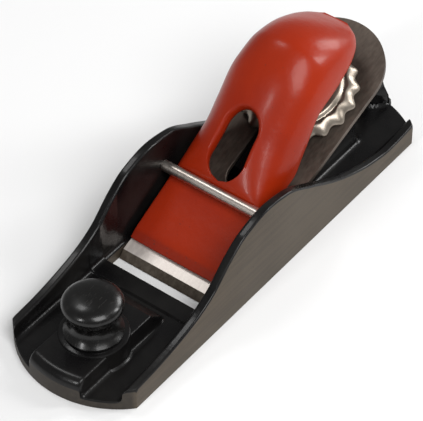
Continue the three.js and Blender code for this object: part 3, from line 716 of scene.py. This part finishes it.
red_enamel = finish("red_enamel", enamel, Coat_Weight=0.1, Coat_Roughness=0.12, Specular_IOR_Level=0.2)
cap = make_piece("lever_cap_shell", [*cap_sheets(), pillar_sheet()], [red_enamel], crease=50)
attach(cap, "lever_cap")
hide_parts("lever_cap")

# ---- Clamp: wheel and screw ----
# A scalloped dished wheel, pressed from sheet and nickel plated, turns a screw in the cap's bush and
# drives the foot down on the cutter.

WHEEL_RADIUS, WHEEL_LOBES, WHEEL_PLATE = 20.6, 18, 8.4
screw_low, screw_high = 3.2, 26.0


def wheel_sheet():
    """Profile rings with scallops: radius + depth * (1 - 2|sin(n turn / 2)|^1.8), n lobes round."""
    top = WHEEL_PLATE
    rings = np.array([
        (3.3, top, 0), (9, top, 0), (14.9, top, 0), (15.6, top - 0.3, 0), (16, top - 1.2, 0),
        (16.5, top - 1.45, 0.1), (17.2, top - 1.15, 0.3), (17.7, top - 1.25, 0.45), (18.6, top - 1.8, 0.7),
        (19.7, top - 2.8, 0.9), (20.4, top - 3.7, 0.95), (WHEEL_RADIUS, top - 4.1, 0.95),
        (20.5, top - 4.4, 0.95), (20.1, top - 4.5, 0.95), (19.7, top - 4.2, 0.9), (19.0, top - 3.3, 0.8),
        (18.0, top - 2.5, 0.6), (17.1, top - 2.2, 0.3), (15.9, top - 2.5, 0),
        (15.1, top - 1.8, 0), (14.4, top - 1.05, 0), (9, top - 1, 0), (3.3, top - 1, 0), (3.3, top, 0)])
    turn = np.linspace(0, 2 * np.pi, WHEEL_LOBES * 20 + 1)
    scallop = 1 - 2 * np.abs(np.sin(WHEEL_LOBES * turn / 2)) ** 1.8
    radius = rings[:, :1] + 0.8 * rings[:, 2:] * scallop
    height = rings[:, 1:2] - 0.35 * rings[:, 2:] * scallop
    return [(on_clamp(radius, turn, height), 0)]


def thread_sheet(radius, low, high, pitch, depth, placed):
    """A screw: radius - depth * (0.5 - 0.5 cos(turn - 2 pi z / pitch)), plain at its two ends."""
    turn = np.linspace(0, 2 * np.pi, 49)
    z = np.linspace(low, high, int((high - low) / pitch * 8) + 2)[:, None]
    fade = smoothstep(low, low + pitch, z) * smoothstep(high, high - pitch, z)
    reach = radius - depth * fade * (0.5 - 0.5 * np.cos(turn - 2 * np.pi * z / pitch)) - 0.25 * (1 - fade)
    body = placed(reach, turn, z + 0 * turn)
    ends = [placed(0 * turn, turn, z[i] + 0 * turn) for i in (0, -1)]
    return [(np.concatenate([ends[:1], body, ends[1:]]), 0)]


def turned_steel(place):
    """Bright turned steel, a little oily."""
    cloud, fine = place.noise(160, 4), place.noise(1800, 2)
    return {
        "Base Color": cloud.eased(0.35, 0.75).between((0.5, 0.48, 0.45), (0.3, 0.28, 0.25)),
        "Roughness": 0.26 + 0.2 * cloud,
        "Normal": fine.bump(0.00002, 0.4),
    }


def turned_brass(place):
    """Brass with a warm tarnish in patches."""
    cloud, fine = place.noise(140, 4), place.noise(1500, 2)
    return {
        "Base Color": cloud.eased(0.4, 0.75).between((0.72, 0.5, 0.2), (0.4, 0.26, 0.1)),
        "Roughness": 0.24 + 0.22 * cloud,
        "Normal": fine.bump(0.00002, 0.4),
    }


steel = finish("turned_steel", turned_steel, Metallic=1.0)
brass = finish("turned_brass", turned_brass, Metallic=1.0)
# Painted shade: the wheel's nickel is a darker copy of the pin's nickel, its colour dimmed to stand in for
# light.
nickel_painted_shade = finish("nickel_painted_shade", lambda place: plated(place, (0.36, 0.315, 0.265), (0.2, 0.17, 0.135)),
                     Metallic=0.9)
wheel = make_piece("clamp_wheel_pressing", wheel_sheet(), [nickel_painted_shade], crease=60)
clamp_screw = make_piece("clamp_screw_thread", thread_sheet(3.0, screw_low, screw_high, 1.0, 0.45, on_clamp),
                         [steel], crease=60)
for piece, node, slot in [(wheel, "clamp_wheel", "nickel"), (clamp_screw, "clamp_screw", "steel")]:
    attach(piece, "clamp_screw")
    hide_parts(node)

# ---- Depth adjuster: stud and nut ----
# A threaded stud runs from the bed block to the heel post; the knurled brass nut on it carries the
# lever's fork in its groove and so moves the cutter.

stud_low, stud_high = (1000 * np.array(corner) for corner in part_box("depth_stud"))
nut_low, nut_high = (1000 * np.array(corner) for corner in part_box("depth_nut"))
STUD_HEIGHT = (stud_low[2] + stud_high[2]) / 2


def on_stud(radius, turn, along):
    """Points round the stud's axis."""
    return np.stack(np.broadcast_arrays(along, radius * np.cos(turn), STUD_HEIGHT + radius * np.sin(turn)), -1)


def nut_sheet():
    """Turned profile with its wheel knurled: radius - 0.4 |sin(30 turn)| on the wheel's rings."""
    wheel_back, wheel_front, groove = nut_high[0], nut_high[0] - 4.8, nut_low[0] + 1.8
    profile = np.array([
        (2.3, nut_low[0], 0), (4.7, nut_low[0], 0), (5, nut_low[0] + 0.3, 0), (5, groove, 0), (3.6, groove, 0),
        (3.6, groove + 4.6, 0), (5, groove + 4.6, 0), (5, wheel_front, 0), (7.3, wheel_front, 0),
        (7.9, wheel_front + 0.6, 1), (8, wheel_front + 0.9, 1), (8, wheel_back - 0.9, 1),
        (7.9, wheel_back - 0.6, 1), (7.3, wheel_back, 0), (5.2, wheel_back, 0), (2.3, wheel_back, 0),
        (2.3, nut_low[0], 0)])
    turn = np.linspace(0, 2 * np.pi, 241)
    radius = profile[:, :1] - 0.4 * profile[:, 2:] * np.abs(np.sin(30 * turn))
    return [(on_stud(radius, turn, profile[:, 1:2] + 0 * turn), 0)]


stud = make_piece("depth_stud_thread", thread_sheet(2.0, stud_low[0], stud_high[0], 0.8, 0.35, on_stud),
                  [steel], crease=60)
nut = make_piece("depth_nut_knurled", nut_sheet(), [brass], crease=30)
for piece, node, body, slot in [(stud, "depth_stud", "body", "steel"),
                                (nut, "depth_nut", "depth_nut", "brass")]:
    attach(piece, body)
    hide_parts(node)

# ---- Small turned parts ----
# The insert, studs, collar, foot, washer, lock nut, bush, lever and its pin keep the frame's own
# solids and get turned steel or brass.

for node, material in {"knob_insert": brass, "knob_stud": steel, "cap_bush": brass, "clamp_collar": steel,
                       "clamp_foot": steel, "depth_washer": steel, "stud_lock_nut": steel,
                       "adjust_lever": steel, "lever_pin": steel}.items():
    frame["nodes"][node].data.materials.clear()
    frame["nodes"][node].data.materials.append(material)

# ---- Studio ----
# A pale floor, a little even light all round, the main soft light from the near side, a narrow one
# past the toe for the highlight on the crown, a small one above, and two on the heel side.

floor_mesh = bpy.data.meshes.new("floor")
floor_mesh.from_pydata([(-3, -3, 0), (3, -3, 0), (3, 3, 0), (-3, 3, 0)], [], [(0, 1, 2, 3)])
floor = bpy.data.objects.new("floor", floor_mesh)
bpy.context.scene.collection.objects.link(floor)
floor_mesh.materials.append(finish("pale_floor", lambda place: {
    "Base Color": place.noise(3, 2).between((0.79, 0.79, 0.79), (0.82, 0.82, 0.82))}, Roughness=0.9))

world = bpy.data.worlds.new("studio")
world.use_nodes = True
world.node_tree.nodes["Background"].inputs["Color"].default_value = (1, 1, 1, 1)
world.node_tree.nodes["Background"].inputs["Strength"].default_value = 0.26
bpy.context.scene.world = world


def add_light(name, place, target, width, height, watts):
    """A rectangular area light at place that faces target, both in metres."""
    data = bpy.data.lights.new(name, "AREA")
    data.shape, data.size, data.size_y, data.energy = "RECTANGLE", width, height, watts
    lamp = bpy.data.objects.new(name, data)
    lamp.location = place
    lamp.rotation_euler = (Vector(place) - Vector(target)).to_track_quat("Z", "Y").to_euler()
    bpy.context.scene.collection.objects.link(lamp)


add_light("key_near_side", (-0.45, -0.95, 1.35), (0, 0, 0.02), 0.9, 0.9, 20)
add_light("window_toe", (-1.2, 0.1, 0.75), (0, 0, 0.03), 0.16, 0.4, 4)
add_light("overhead_far", (0.03, 0.5, 1.05), (-0.02, 0, 0.02), 0.26, 0.26, 1.6)
add_light("fillet_side", (0.78, -0.8, 0.72), (0, 0, 0.02), 0.24, 0.42, 5)
add_light("heel_side", (1.2, -0.3, 0.6), (0.05, 0, 0.02), 0.5, 0.5, 7)

# ---- Camera ----
# High on the toe's near side, a long lens from about 0.83 m, looking at the middle of the casting.

azimuth, elevation, reach = math.radians(-52.57), math.radians(44.52), 0.8255
away = Vector((math.sin(azimuth) * math.cos(elevation), -math.cos(azimuth) * math.cos(elevation),
               math.sin(elevation)))
camera_data = bpy.data.cameras.new("camera")
camera_data.lens, camera_data.sensor_width, camera_data.sensor_fit = 207.8, 36, "HORIZONTAL"
camera_data.clip_start, camera_data.clip_end = 0.05, 20
camera = bpy.data.objects.new("camera", camera_data)
camera.location = Vector((-0.00257, 0.00141, 0.01392)) + reach * away
camera.rotation_euler = away.to_track_quat("Z", "Y").to_euler()
bpy.context.scene.collection.objects.link(camera)
bpy.context.scene.camera = camera
bpy.context.scene.view_settings.view_transform = "Standard"
